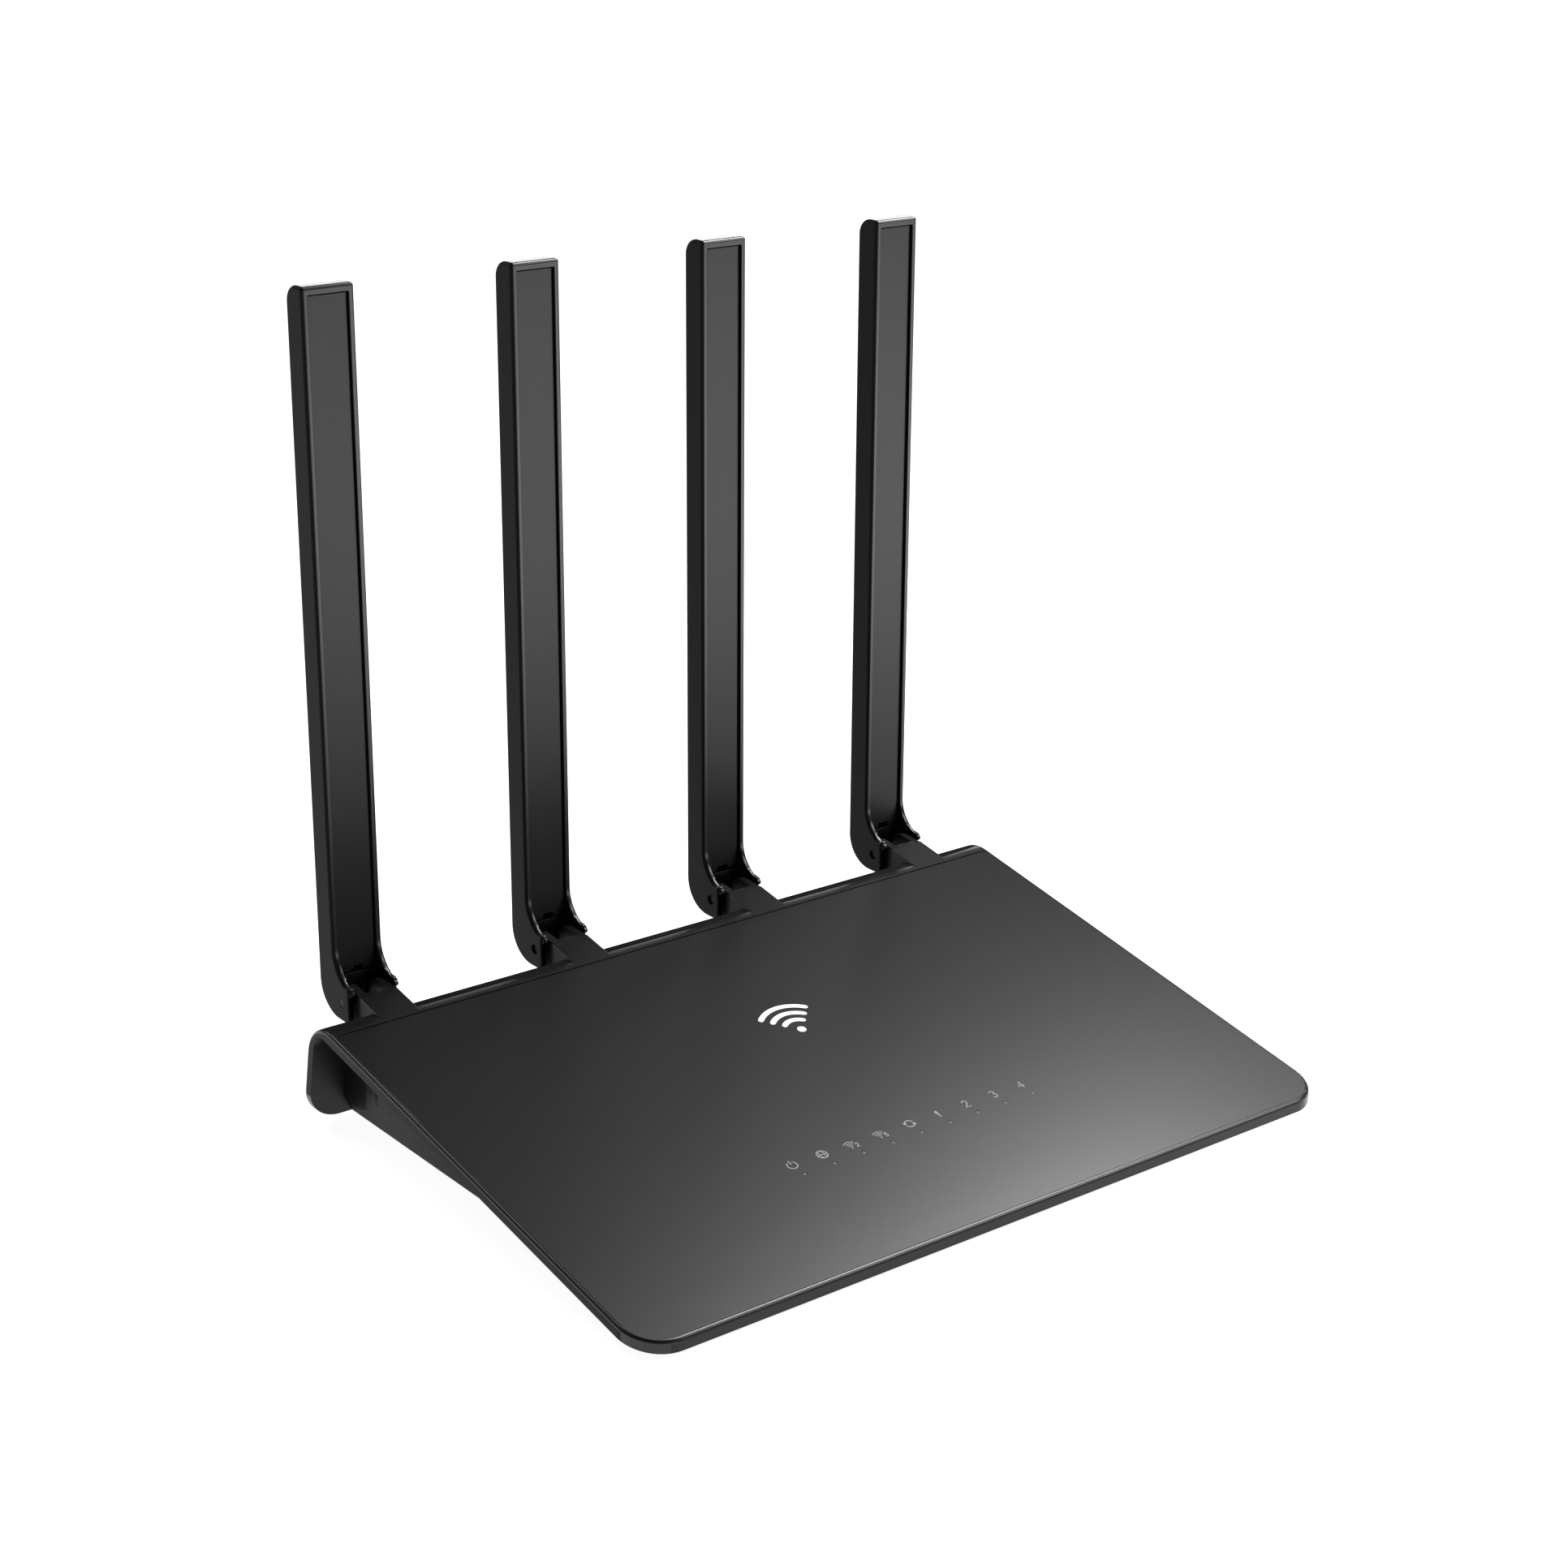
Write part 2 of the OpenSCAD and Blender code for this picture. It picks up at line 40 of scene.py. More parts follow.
# ------------------------------------------------------------------ shared sizes (millimetres)
SLOPE = math.radians(11.1)
YF, CY, FRONT_H = -77.0, 59.25, 4.0
def zt(y): return FRONT_H + (y - YF) * math.tan(SLOPE)
PVY, PVZ = 66.3, 27.8
PITCH = 55.28
def ant_x(i): return (i - 2.5) * PITCH

# ------------------------------------------------------------------ materials
class Mat:
    """A small node-material builder around one Principled shader."""
    def __init__(s, name):
        s.m = D.materials.new(name); s.m.use_nodes = True
        s.t = s.m.node_tree; s.t.nodes.clear()
        s.out = s.n("ShaderNodeOutputMaterial"); s.p = s.n("ShaderNodeBsdfPrincipled")
        s.l(s.p.outputs[0], s.out.inputs[0])
        s.tc = s.n("ShaderNodeTexCoord")
    def n(s, kind, **kw):
        x = s.t.nodes.new(kind)
        for k, v in kw.items():
            setattr(x, k, v)
        return x
    def l(s, a, b): s.t.links.new(a, b)
    def noise(s, size_mm, detail=2.0, rough=0.5, stretch=(1, 1, 1), dist=0.0):
        mp = s.n("ShaderNodeMapping"); mp.inputs["Scale"].default_value = stretch
        s.l(s.tc.outputs["Object"], mp.inputs["Vector"])
        x = s.n("ShaderNodeTexNoise")
        x.inputs["Scale"].default_value = 1000.0 / size_mm
        x.inputs["Detail"].default_value = detail
        x.inputs["Roughness"].default_value = rough
        x.inputs["Distortion"].default_value = dist
        s.l(mp.outputs[0], x.inputs["Vector"])
        return x.outputs["Fac"]
    def ramp(s, fac, stops):
        r = s.n("ShaderNodeValToRGB")
        e = r.color_ramp.elements
        while len(e) < len(stops): e.new(0.5)
        for i, (pos, c) in enumerate(stops):
            e[i].position = pos
            e[i].color = (c, c, c, 1) if not hasattr(c, "__len__") else (*c, 1)
        s.l(fac, r.inputs[0])
        return r.outputs[0]
    def remap(s, fac, a, b, c, d):
        r = s.n("ShaderNodeMapRange")
        for k, v in zip(("From Min", "From Max", "To Min", "To Max"), (a, b, c, d)):
            r.inputs[k].default_value = v
        s.l(fac, r.inputs["Value"])
        return r.outputs[0]
    def mixc(s, fac, a, b, mode="MIX"):
        x = s.n("ShaderNodeMix", data_type="RGBA", blend_type=mode)
        for sock, v in ((x.inputs[0], fac), (x.inputs[6], a), (x.inputs[7], b)):
            if hasattr(v, "links") or isinstance(v, bpy.types.NodeSocket): s.l(v, sock)
            elif isinstance(v, (int, float)): sock.default_value = v
            else: sock.default_value = (*v, 1)
        return x.outputs[2]
    def add(s, a, b, k=1.0):
        x = s.n("ShaderNodeMath", operation="MULTIPLY_ADD")
        s.l(b, x.inputs[0]); x.inputs[1].default_value = k; s.l(a, x.inputs[2])
        return x.outputs[0]
    def bump(s, h, dist_mm, strength=1.0, normal=None):
        x = s.n("ShaderNodeBump")
        x.inputs["Strength"].default_value = strength
        x.inputs["Distance"].default_value = dist_mm * mm
        s.l(h, x.inputs["Height"])
        if normal is not None: s.l(normal, x.inputs["Normal"])
        return x.outputs[0]
    def set(s, **kw):
        for k, v in kw.items():
            sock = s.p.inputs[k.replace("_", " ")]
            if isinstance(v, bpy.types.NodeSocket): s.l(v, sock)
            elif hasattr(v, "__len__") and len(v) == 3 and sock.type == "RGBA": sock.default_value = (*v, 1)
            else: sock.default_value = v
        return s

def plastic(name, col, rough, grain=0.35, depth=0.006, var=0.25, ior=1.47, rvar=0.05, speck=0.0, coat=0.0, coat_rough=0.2, level=0.5):
    """Moulded plastic: fine spark-eroded grain, broad tone and gloss variation, optional pale flecks."""
    s = Mat(name)
    fine = s.noise(grain, 2.0, 0.6)
    broad = s.noise(38.0, 3.0, 0.55)
    mid = s.noise(3.2, 3.0, 0.6)
    dark = tuple(c * (1 - var) for c in col); light = tuple(c * (1 + var) for c in col)
    c = s.mixc(s.remap(broad, 0.3, 0.7, 0, 1), dark, light)
    c = s.mixc(s.remap(fine, 0.35, 0.7, 0, 0.55), c, light)
    if speck > 0:
        f = s.noise(grain * 1.4, 1.0, 0.4)
        c = s.mixc(s.remap(f, 0.66, 0.78, 0, speck), c, tuple(min(1, q * 2.6 + 0.01) for q in col))
    r = s.remap(s.add(broad, mid, 0.5), 0.5, 1.05, rough - rvar, rough + rvar)
    s.set(Base_Color=c, Roughness=r, IOR=ior, Specular_IOR_Level=level, Coat_Weight=coat, Coat_Roughness=coat_rough,
          Normal=s.bump(s.add(fine, mid, 0.35), depth))
    return s.m

def metal(name, col, rough=0.3, brushed=(1, 1, 1), grain=0.6, depth=0.004):
    s = Mat(name)
    g = s.noise(grain, 4.0, 0.65, brushed)
    b = s.noise(9.0, 3.0, 0.6)
    c = s.mixc(s.remap(b, 0.3, 0.7, 0, 1), tuple(q * 0.86 for q in col), tuple(min(1, q * 1.06) for q in col))
    s.set(Base_Color=c, Metallic=1.0, Roughness=s.remap(g, 0.3, 0.7, rough * 0.75, rough * 1.3),
          Normal=s.bump(g, depth))
    return s.m

def rubber(name, col):
    s = Mat(name)
    f = s.noise(0.5, 3.0, 0.7); b = s.noise(4.0, 2.0, 0.5)
    s.set(Base_Color=s.mixc(s.remap(b, 0.3, 0.7, 0, 1), tuple(q * 0.75 for q in col), tuple(q * 1.3 for q in col)),
          Roughness=s.remap(f, 0.3, 0.7, 0.68, 0.88), Normal=s.bump(f, 0.02), IOR=1.42)
    return s.m

def board(name):
    s = Mat(name)
    br = s.n("ShaderNodeTexBrick")
    mp = s.n("ShaderNodeMapping"); mp.inputs["Scale"].default_value = (1, 1, 1)
    s.l(s.tc.outputs["Object"], mp.inputs[0]); s.l(mp.outputs[0], br.inputs["Vector"])
    br.inputs["Scale"].default_value = 110.0; br.inputs["Mortar Size"].default_value = 0.06
    br.inputs["Color1"].default_value = (0.008, 0.09, 0.045, 1); br.inputs["Color2"].default_value = (0.01, 0.12, 0.06, 1)
    br.inputs["Mortar"].default_value = (0.02, 0.2, 0.09, 1)
    n = s.noise(0.8, 2.0)
    s.set(Base_Color=s.mixc(s.remap(n, 0.3, 0.7, 0, 0.35), br.outputs["Color"], (0.012, 0.15, 0.07)),
          Roughness=s.remap(n, 0.3, 0.7, 0.24, 0.4), Normal=s.bump(br.outputs["Fac"], 0.03, 0.6), Coat_Weight=0.3, Coat_Roughness=0.1)
    return s.m

def clear(name, col, rough, glow=0.0):
    s = Mat(name)
    n = s.noise(1.2, 2.0)
    s.set(Base_Color=s.mixc(s.remap(n, 0.3, 0.7, 0, 1), tuple(q * 0.9 for q in col), col), Transmission_Weight=0.35,
          Roughness=s.remap(n, 0.3, 0.7, rough * 0.8, rough * 1.2), IOR=1.49, Normal=s.bump(n, 0.01))
    return s.m

M_COVER = plastic("cover_plastic", (0.0045, 0.0045, 0.0047), 0.285, grain=0.42, depth=0.002, var=0.12, rvar=0.0)
M_HOUSE = plastic("housing_plastic", (0.0045, 0.0045, 0.0047), 0.29, grain=0.40, depth=0.003, var=0.12, rvar=0.0)
# Housing faces that point sideways, and the housing's small edge roundings, get this copy of the black plastic. It
# reflects less, which is painted shade.
M_SIDE = plastic("housing_sides_painted_shade", (0.0050, 0.0050, 0.0052), 0.45, grain=0.40, depth=0.004, var=0.12, rvar=0.02, ior=1.2)
# The bend and the back-facing housing faces get this copy. Its reflection is switched off to take away their highlight
# (painted shade), and its colour is lighter to stand for the light they catch (painted light).
M_BEND = plastic("housing_bend_painted_light_and_shade", (0.011, 0.011, 0.0113), 0.55, grain=0.40, depth=0.004, var=0.12, rvar=0.02, ior=1.25, level=0.0)
# Front-facing housing faces get this copy of the black plastic. It reflects less, which is painted shade.
M_FRONT = plastic("housing_front_painted_shade", (0.0045, 0.0045, 0.0047), 0.36, grain=0.40, depth=0.004, var=0.12, rvar=0.02, ior=1.36)
M_TRAY = plastic("tray_plastic", (0.0060, 0.0060, 0.0063), 0.45, grain=0.45, depth=0.010, var=0.15, ior=1.3)
# Tray faces that point sideways get this copy of the tray plastic. It reflects less, which is painted shade.
M_TSIDE = plastic("tray_sides_painted_shade", (0.0050, 0.0050, 0.0052), 0.55, grain=0.45, depth=0.008, var=0.15, ior=1.12)
M_BLADE = plastic("antenna_plastic", (0.0045, 0.0045, 0.0047), 0.24, grain=0.32, depth=0.002, var=0.10, rvar=0.0, ior=1.4)
# The blade sides, the outer segments of their big edge roundings and their small edge roundings get this copy. It
# reflects less, which is painted shade. It leaves a dark band beside a bright ridge on the innermost segment.
M_BSIDE = plastic("antenna_sides_painted_shade", (0.0050, 0.0050, 0.0052), 0.42, grain=0.34, depth=0.003, var=0.10, rvar=0.0, ior=1.13)
M_PANEL = plastic("antenna_panel_plastic", (0.0045, 0.0045, 0.0047), 0.26, grain=0.35, depth=0.002, var=0.12, rvar=0.012, ior=1.3)
M_BUTTON = plastic("button_plastic", (0.02, 0.02, 0.021), 0.4, var=0.15)
M_PIN = plastic("pin_plastic", (0.0055, 0.0055, 0.0057), 0.42, grain=0.3, ior=1.2)
M_CHIP = plastic("chip_epoxy", (0.02, 0.02, 0.022), 0.55, grain=0.25, depth=0.01, speck=0.3)
M_LAN = plastic("socket_yellow", (0.62, 0.36, 0.03), 0.38, grain=0.3, depth=0.004, var=0.08)
M_WAN = plastic("socket_blue", (0.02, 0.10, 0.42), 0.38, grain=0.3, depth=0.004, var=0.1)
M_JACK = plastic("jack_black", (0.014, 0.014, 0.014), 0.42, grain=0.3)
M_COAX = plastic("coax_jacket", (0.006, 0.006, 0.006), 0.5, grain=0.6, depth=0.01)
M_LABEL = plastic("label_film", (0.62, 0.62, 0.61), 0.45, grain=0.5, depth=0.003, var=0.04)
M_LED = plastic("led_body", (0.75, 0.72, 0.5), 0.3, grain=0.3, depth=0.003, var=0.06)
M_RAD = plastic("radiator_laminate", (0.12, 0.22, 0.09), 0.35, grain=0.5, depth=0.006, var=0.15)
M_PAD = rubber("thermal_silicone", (0.36, 0.42, 0.5))
M_RUBBER = rubber("foot_rubber", (0.02, 0.02, 0.02))
M_ALU = metal("heatsink_alu", (0.78, 0.79, 0.8), 0.34, (1, 0.08, 1))
M_CAN = metal("can_tin", (0.72, 0.72, 0.72), 0.3)
M_GOLD = metal("contact_gold", (0.9, 0.66, 0.3), 0.22, (1, 0.1, 1), 0.3)
M_CHROME = metal("pin_nickel", (0.8, 0.79, 0.76), 0.16, (1, 0.1, 1), 0.3, 0.001)
M_SCREW = metal("screw_zinc", (0.62, 0.63, 0.65), 0.3, (1, 1, 1), 0.4)
M_CAP = metal("capacitor_sleeve", (0.10, 0.12, 0.2), 0.4)
M_BOARD = board("board_mask")
M_GUIDE = clear("light_guide_smoked", (0.045, 0.045, 0.047), 0.4)
M_WHITE = plastic("white_ink", (0.86, 0.86, 0.86), 0.5, grain=0.3, depth=0.002, var=0.02)
M_INK = plastic("grey_ink", (0.30, 0.30, 0.30), 0.5, grain=0.3, depth=0.002, var=0.05)

# ------------------------------------------------------------------ mesh helpers
def link(ob):
    COL.objects.link(ob)
    return ob

def sharpen(me, deg=32):
    for p in me.polygons: p.use_smooth = True
    me.set_sharp_from_angle(angle=math.radians(deg))

def smooth_mods(ob, width_mm, segs=2, angle=38, slot_no=-1, by_weight=False):
    """Small edge rounding, then weighted normals so flats stay flat."""
    if width_mm > 0:
        b = ob.modifiers.new("edge", "BEVEL")
        b.width = width_mm * mm; b.segments = segs; b.limit_method = "WEIGHT" if by_weight else "ANGLE"
        b.angle_limit = math.radians(angle); b.use_clamp_overlap = False; b.harden_normals = False
        # slot_no gives the rounded edge faces their own material slot. With slot 1, that slot is the darker side copy,
        # which is painted shade on the edges.
        b.miter_outer = "MITER_ARC"; b.material = slot_no
    w = ob.modifiers.new("normals", "WEIGHTED_NORMAL"); w.keep_sharp = True; w.weight = 60
    return ob

def from_cad(node, name, big=(), small=0.1, mat=None, body=None, dissolve=0.4, side_mat=None, side_min=0.985, front_mat=None, back_mat=None, back_min=2.0, edge_slot=-1, adjust=None, cuts=(), plain=None, strips=None):
    """A detailed piece that stands for a CAD node: same shape, welded and cleaned, with its edges rounded."""
    me = NODES[node].data.copy()
    me.materials.clear()
    ob = link(D.objects.new(name, me))
    bm = bmesh.new(); bm.from_mesh(me)
    bmesh.ops.remove_doubles(bm, verts=bm.verts[:], dist=2e-6)
    bmesh.ops.dissolve_degenerate(bm, dist=1e-6, edges=bm.edges[:])
    if strips:
        # turn triangle fans on the curved part into even strips
        for k in range(6):
            fs = [f for f in bm.faces if len(f.verts) == 3 and all(strips(v.co / mm) for v in f.verts) and abs(f.normal.x) < 0.7]
            fset = set(fs)
            es = [e for e in {e for f in fs for e in f.edges} if len(e.link_faces) == 2 and all(f in fset for f in e.link_faces)]
            es.sort(key=lambda e: e.index)
            bmesh.ops.beautify_fill(bm, faces=fs, edges=es, method="ANGLE")
            bm.normal_update()
    if dissolve > 0: bmesh.ops.dissolve_limit(bm, angle_limit=math.radians(dissolve), verts=bm.verts[:], edges=bm.edges[:], use_dissolve_boundaries=False)
    for x in cuts:
        bmesh.ops.bisect_plane(bm, geom=bm.verts[:] + bm.edges[:] + bm.faces[:], dist=1e-7, plane_co=(x * mm, 0, 0), plane_no=(1, 0, 0))
    for test, width, segs in big:
        es = [e for e in bm.edges if len(e.link_faces) == 2 and e.calc_face_angle(0) > math.radians(25) and e.calc_face_angle_signed(0) > 0 and test(e)]
        if es:
            bmesh.ops.bevel(bm, geom=es, offset=width * mm, offset_type="OFFSET", segments=segs, profile=0.5,
                            affect="EDGES", clamp_overlap=False, loop_slide=True)
    if adjust: adjust(bm)
    bm.normal_update()
    # Faces picked by the way they point (sideways, to the front, back over the bend) get the darker copies of the
    # plastic: painted shade.
    if side_mat:
        for f in bm.faces:
            if abs(f.normal.x) > side_min: f.material_index = 1
            elif front_mat and f.normal.y < -0.97: f.material_index = 2
    if back_mat:
        for f in bm.faces:
            if f.normal.y > back_min and abs(f.normal.x) < 0.5: f.material_index = 3
    if plain:
        wl = bm.edges.layers.float.new("bevel_weight_edge")
        for e in bm.edges:
            e[wl] = 1.0 if len(e.link_faces) == 2 and e.calc_face_angle(0) > math.radians(38) and not plain(e) else 0.0
    bm.to_mesh(me); bm.free()
    me.materials.append(mat)
    if side_mat: me.materials.append(side_mat)
    if front_mat: me.materials.append(front_mat)
    if back_mat: me.materials.append(back_mat)
    sharpen(me, 35)
    smooth_mods(ob, small, slot_no=edge_slot, by_weight=bool(plain))
    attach(ob, body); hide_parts(node)
    return ob

def near(a, b, tol=0.02): return abs(a - b) < tol
def ev(e): return [v.co / mm for v in e.verts]

# ------------------------------------------------------------------ case
HW = 102.5
def on_side(e): return all(near(abs(v.x), HW) for v in ev(e))
def plate_top(v): return near((v.z - zt(v.y)) * math.cos(SLOPE), 0, 0.03)
def rim_top(e):
    a, b = ev(e)
    if on_side(e): return a.z > 1.0 and all(v.z >= zt(v.y) - 0.6 / 1 or v.y > 46 for v in (a, b)) and outer_prof(a) and outer_prof(b)
    return all(plate_top(v) and v.y < -60 and edge_plan(v) for v in (a, b))
def edge_plan(v):
    """On the outer plan outline at the front."""
    if v.y < YF + 10 - 0.01 and abs(v.x) > HW - 10 - 0.01:
        return near(math.hypot(abs(v.x) - (HW - 10), v.y - (YF + 10)), 10, 0.05)
    return near(v.y, YF) or near(abs(v.x), HW)
def to_local(v):
    """Plate frame: u back along the plate from the bend, w out of it."""
    dy, dz = v.y - CY, v.z - zt(CY)
    return dy * math.cos(SLOPE) + dz * math.sin(SLOPE), -dy * math.sin(SLOPE) + dz * math.cos(SLOPE)
def outer_prof(v):
    u, w = to_local(v)
    if u <= -10 + 0.01: return near(w, 0, 0.03)
    if w <= -10 + 0.01: return near(u, 0, 0.03)
    return near(math.hypot(u + 10, w + 10), 10, 0.05)
def wall_corner(e):
    a, b = ev(e)
    return all(outer_prof(v) and v.y > 58 for v in (a, b)) and not on_side(e) and any(v.z < 10.2 for v in (a, b)) and min(abs(a.x), abs(b.x)) > 60 \
        or all(outer_prof(v) and near(v.z, 1.4, 0.05) and v.y > 58 for v in (a, b))

XA = [ant_x(i) for i in range(1, 5)]
def block_flank(e):
    """Upper edges of the hinge blocks."""
    a, b = ev(e)
    if not any(all(near(abs(v.x - xc), 5.2) for v in (a, b)) for xc in XA): return False
    return all(plate_top(v) and v.y > 48 for v in (a, b))
def knuckle_edge(e):
    a, b = ev(e)
    if not any(all(near(abs(v.x - xc), 4.8) for v in (a, b)) for xc in XA): return False
    return all(v.z > 27 and v.y > 60.2 for v in (a, b))
def seat_edge(e):
    """Upper edges of the cover's seat, left crisp."""
    return all(plate_top(v) and abs(v.x) < 101.56 and v.y < 48.96 for v in ev(e)) and any(v.y < 46.5 for v in ev(e))
CUTS = [xc + s * d for xc in XA for s in (-1, 1) for d in (5.9, 7.5)] + [-98, 98]
# The housing's sideways, front and back faces and its small edge roundings take the darker copies of the plastic:
# painted shade.
housing = from_cad("upper_housing", "upper_housing_shell",
    big=[(lambda e: rim_top(e) or wall_corner(e), 0.8, 4), (block_flank, 0.3, 2), (knuckle_edge, 0.25, 2)],
    small=0.03, edge_slot=1, mat=M_HOUSE, side_mat=M_SIDE, front_mat=M_FRONT, back_mat=M_BEND, back_min=0.05,
    cuts=CUTS, plain=seat_edge, strips=lambda v: v.y > 48 and v.z > 15 and abs(v.x) < 89 and outer_prof(v), body="case")
def snug(bm):
    """Close the hairline between the cover and the rim at the sides and the front."""
    for v in bm.verts:
        x, y = v.co.x / mm, v.co.y / mm
        ax = abs(x); q = 0.05
        if y < YF + 10 and ax > HW - 10:
            dx, dy = ax - (HW - 10), y - (YF + 10); r = math.hypot(dx, dy)
            if near(r, 8.95, 0.03): v.co.x = math.copysign((HW - 10 + dx * (r + q) / r) * mm, x); v.co.y = (YF + 10 + dy * (r + q) / r) * mm
        elif near(ax, HW - 1.05, 0.03): v.co.x = math.copysign((ax + q) * mm, x)
        elif near(y, YF + 1.05, 0.03): v.co.y = (y - q) * mm
cover = from_cad("top_cover", "cover_panel", small=0, dissolve=0, mat=M_COVER, body="case", adjust=snug)
cover.modifiers.clear()
for p in cover.data.polygons: p.use_smooth = False
# side_min=0.55 gives the sideways tray faces the darker copy: painted shade.
tray = from_cad("bottom_case", "tray_shell", small=0.12, dissolve=0, mat=M_TRAY, side_mat=M_TSIDE, side_min=0.55, body="case")

# ------------------------------------------------------------------ antennas
def blade_edge(xc):
    def test(e):
        a, b = ev(e)
        if not all(near(abs(v.x - xc), 6.8) for v in (a, b)): return False
        if all(math.hypot(v.y - PVY, v.z - PVZ) < 1.6 for v in (a, b)): return False
        return not all(v.y < 64.3 and v.z > 29 for v in (a, b))
    return test
def bead_edge(xc):
    """Round ends of the small beads at the cheek tips."""
    def test(e):
        a, b = ev(e)
        return any(all(near(abs(v.x - xc), w, 0.012) for v in (a, b)) for w in (6.6, 6.55, 5.35, 5.3)) and all(v.z > 29.5 and v.y < 64 for v in (a, b))
    return test
for i in range(1, 5):
    xc = ant_x(i)
    # side_min=0.40 puts most of each big rounding under the darker side copy, and edge_slot=1 puts the small roundings
    # under it too: painted shade.
    from_cad(f"antenna_{i}_shell", f"antenna_{i}_blade", big=[(bead_edge(xc), 0.25, 2), (blade_edge(xc), 0.85, 5)], small=0.14, edge_slot=1,
             mat=M_BLADE, side_mat=M_BSIDE, side_min=0.40, body=f"antenna_{i}")
    from_cad(f"antenna_{i}_panel", f"antenna_{i}_face", small=0.12, mat=M_PANEL, body=f"antenna_{i}")

# ------------------------------------------------------------------ prints on the cover
TOP = Matrix.Translation((0, CY * mm, zt(CY) * mm)) @ Matrix.Rotation(SLOPE, 4, "X")
def plane_y(y): return (y - CY) / math.cos(SLOPE)

def stroke(bm, pts, w, closed=False, h=0.03):
    """A flat ribbon of width w along pts (mm, plate plane), with round ends, h thick."""
    n = len(pts); P = [Vector(p) for p in pts]; L, R = [], []
    for k in range(n):
        a = P[(k - 1) % n] if closed or k > 0 else P[k]; b = P[(k + 1) % n] if closed or k < n - 1 else P[k]
        t = (b - a).normalized(); nn = Vector((-t.y, t.x))
        if closed or 0 < k < n - 1:
            t1 = (P[k] - P[(k - 1) % n]).normalized(); nn1 = Vector((-t1.y, t1.x))
            m = w / 2 / max(0.5, nn.dot(nn1))
        else: m = w / 2
        L.append(P[k] + nn * m); R.append(P[k] - nn * m)
    if closed:
        for k in range(n):
            j = (k + 1) % n
            prism(bm, [L[k], R[k], R[j], L[j]], h)
    else:
        def cap(c, d):
            return [c + Matrix.Rotation(math.radians(q), 2) @ d for q in (30, 60, 90, 120, 150)]
        e = cap(P[-1], (R[-1] - P[-1])); s0 = cap(P[0], (L[0] - P[0]))
        prism(bm, R + e + L[::-1] + s0, h)

def prism(bm, poly, h):
    a = [bm.verts.new((p.x, p.y, 0)) for p in poly]; b = [bm.verts.new((p.x, p.y, h)) for p in poly]
    area = sum(poly[k].x * poly[(k + 1) % len(poly)].y - poly[(k + 1) % len(poly)].x * poly[k].y for k in range(len(poly)))
    if area < 0: a.reverse(); b.reverse()
    bm.faces.new(b); bm.faces.new(a[::-1])
    n = len(a)
    for k in range(n): bm.faces.new([a[k], a[(k + 1) % n], b[(k + 1) % n], b[k]])

def arc(cx, cy, r, a0, a1, n=20):
    return [(cx + r * math.cos(math.radians(a0 + (a1 - a0) * k / n)), cy + r * math.sin(math.radians(a0 + (a1 - a0) * k / n))) for k in range(n + 1)]
def ringpts(cx, cy, r, n=36): return arc(cx, cy, r, 0, 360, n)[:-1]
def disc(bm, cx, cy, r, h=0.03, n=24): prism(bm, [Vector(p) for p in ringpts(cx, cy, r, n)], h)

def print_piece(name, draw, x, y, mat, lift=0.004, scale=1.0):
    bm = bmesh.new(); draw(bm)
    me = D.meshes.new(name)
    for v in bm.verts: v.co *= mm
    bm.normal_update(); bm.to_mesh(me); bm.free()
    me.materials.append(mat)
    ob = link(D.objects.new(name, me))
    ob.matrix_world = TOP @ Matrix.Translation((x * mm, plane_y(y) * mm, lift * mm)) @ Matrix.Scale(scale, 4)
    bpy.context.view_layer.update()
    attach(ob, "case")
    return ob

W = 0.24
def d_power(bm): stroke(bm, arc(0, -0.1, 1.25, 125, 415, 28), W); stroke(bm, [(0, 0.35), (0, 1.5)], W)
def d_globe(bm):
    stroke(bm, ringpts(0, 0, 1.35), W, True); stroke(bm, [(-1.3, 0), (1.3, 0)], W * 0.8)
    stroke(bm, [(0.62 * math.cos(math.radians(q)), 1.32 * math.sin(math.radians(q))) for q in range(0, 360, 12)], W * 0.8, True)
def wifi(bm, dy=0.0, k=1.0, w=W):
    disc(bm, 0, -1.0 * k + dy, 0.26 * k)
    for r in (0.95, 1.65, 2.35): stroke(bm, arc(0, -1.0 * k + dy, r * k, 45, 135, 14), w)
DIG = {"1": [[(-0.45, 0.7), (0.1, 1.2), (0.1, -1.2)]],
       "2": [arc(0, 0.55, 0.65, 160, -40, 12) + [(-0.65, -1.2), (0.7, -1.2)]],
       "3": [arc(0, 0.6, 0.6, 150, -80, 12), arc(0, -0.58, 0.68, 80, -150, 12)],
       "4": [[(0.35, -1.2), (0.35, 1.2), (-0.75, -0.5), (0.8, -0.5)]],
       "5": [[(0.6, 1.2), (-0.45, 1.2), (-0.55, 0.2)] + arc(-0.02, -0.45, 0.72, 135, -140, 14)]}
def digit(bm, d, s=1.0, dx=0.0, dy=0.0, w=W):
    for line in DIG[d]: stroke(bm, [(x * s + dx, y * s + dy) for x, y in line], w)
def wifi_n(bm, d):
    disc(bm, -0.65, -1.15, 0.24)
    for r in (0.85, 1.5, 2.15): stroke(bm, arc(-0.65, -1.15, r, 50, 130, 14), 0.2)
    digit(bm, d, 0.55, 1.05, -0.75, 0.2)
def d_wifi2(bm): wifi_n(bm, "2")
def d_wifi5(bm): wifi_n(bm, "5")
def d_sync(bm):
    for a in (0, 180):
        stroke(bm, arc(0, 0, 1.2, a + 20, a + 150, 14), W)
        q = math.radians(a + 158); c = Vector((1.2 * math.cos(q), 1.2 * math.sin(q)))
        t = Vector((-math.sin(q), math.cos(q))); n = Vector((math.cos(q), math.sin(q)))
        prism(bm, [c + t * 0.55, c - t * 0.2 + n * 0.55, c - t * 0.2 - n * 0.55], 0.03)
